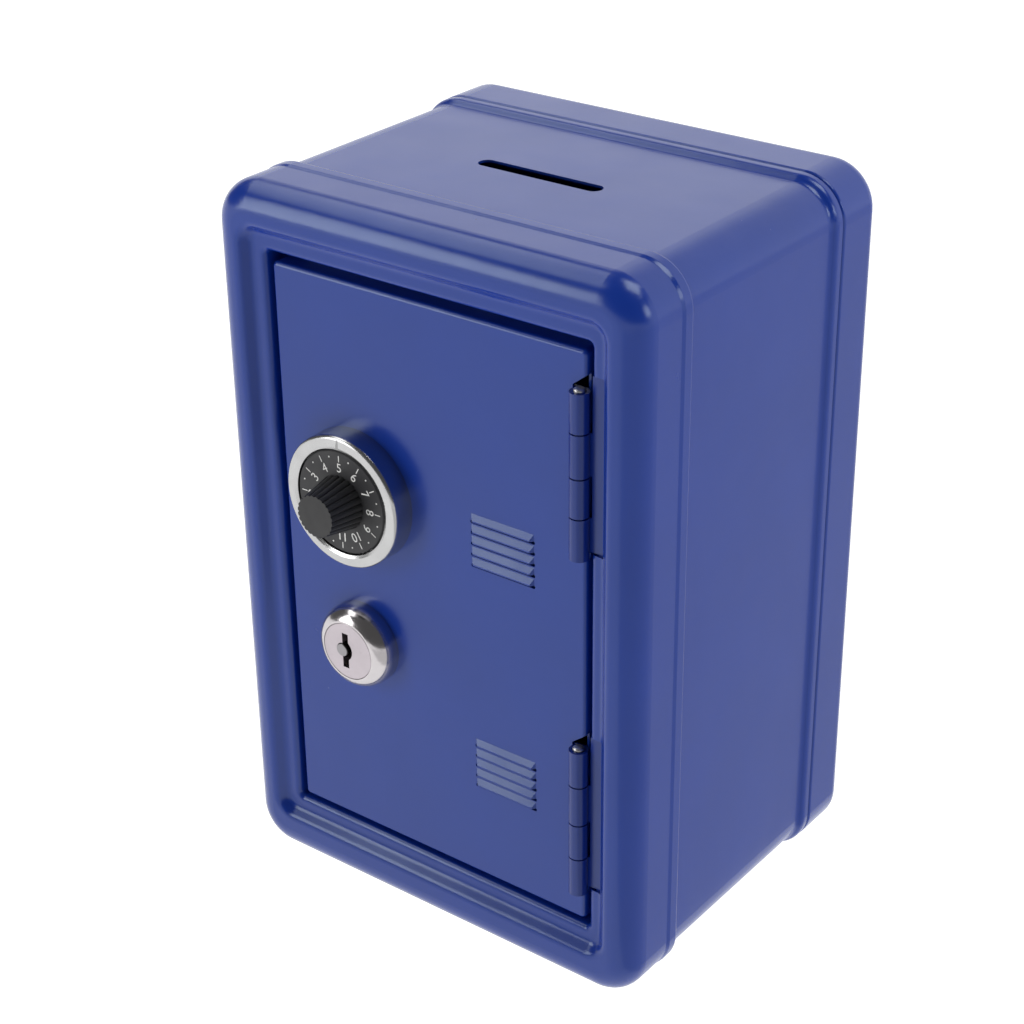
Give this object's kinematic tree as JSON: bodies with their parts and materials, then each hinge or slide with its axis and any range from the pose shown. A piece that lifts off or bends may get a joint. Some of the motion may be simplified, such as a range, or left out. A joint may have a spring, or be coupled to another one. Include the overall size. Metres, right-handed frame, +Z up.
{
  "type": "toy safe coin bank",
  "caption": "Stamped-steel toy safe money box with a coin slot on top, a hinged louvred door, a click-stop numbered dial and a cam lock.",
  "frame": {"origin": "on the surface it stands on, under the middle of the whole object's bounding box", "axes": "+Z up; the door and dial face -Y; +X points to the hinge side, which is the right seen from the front"},
  "size_m": [0.1184, 0.1062, 0.18],
  "materials": {
    "blue_enamel": "glossy royal blue enamel",
    "blue_hinge_enamel": "glossy royal blue enamel, slightly deeper",
    "bare_steel": "unpainted, slightly dull",
    "spring_steel": "tempered spring steel",
    "bright_plating": "bright plated, slightly satin",
    "dial_plastic": "satin black with white markings",
    "knob_plastic": "satin black",
    "bush_plastic": "natural acetal",
    "lock_chrome": "polished",
    "lock_plug_metal": "satin",
    "brass": "stamped brass",
    "zinc_plating": "bright zinc plating"
  },
  "bodies": {
    "casing": {"front_frame": "blue_enamel", "body_shell": "blue_enamel", "rear_cover": "blue_enamel", "upper_hinge_frame_leaf": "blue_hinge_enamel", "lower_hinge_frame_leaf": "blue_hinge_enamel", "upper_hinge_pin": "bare_steel", "lower_hinge_pin": "bare_steel"},
    "door": {"door_panel": "blue_enamel", "upper_hinge_door_leaf": "blue_hinge_enamel", "lower_hinge_door_leaf": "blue_hinge_enamel", "dial_bezel": "bright_plating", "dial_bush": "bush_plastic", "dial_click_spring": "spring_steel", "dial_spring_rivets": "bare_steel", "lock_housing": "lock_chrome", "lock_washer": "zinc_plating", "lock_nut": "zinc_plating"},
    "dial": {"dial_disc": "dial_plastic", "dial_knob": "knob_plastic", "dial_shaft": "bare_steel", "dial_click_wheel": "bush_plastic", "dial_shaft_clip": "spring_steel"},
    "lock": {"lock_plug": "lock_plug_metal", "lock_wafers": "brass", "lock_cam": "zinc_plating", "lock_cam_washer": "zinc_plating", "lock_cam_screw": "zinc_plating"}
  },
  "joints": [
    {"name": "door_hinge", "type": "hinge", "parent": "casing", "child": "door", "pos_m": [0.0425, -0.03955, 0.08955], "axis": [0, 0, 1], "range_deg": [0, 160]},
    {"name": "dial_turn", "type": "hinge", "parent": "door", "child": "dial", "pos_m": [-0.0211, -0.044, 0.11], "axis": [0, 1, 0], "continuous": true},
    {"name": "lock_turn", "type": "hinge", "parent": "door", "child": "lock", "pos_m": [-0.0211, -0.04, 0.0706], "axis": [0, 1, 0], "range_deg": [0, 90]}
  ]
}
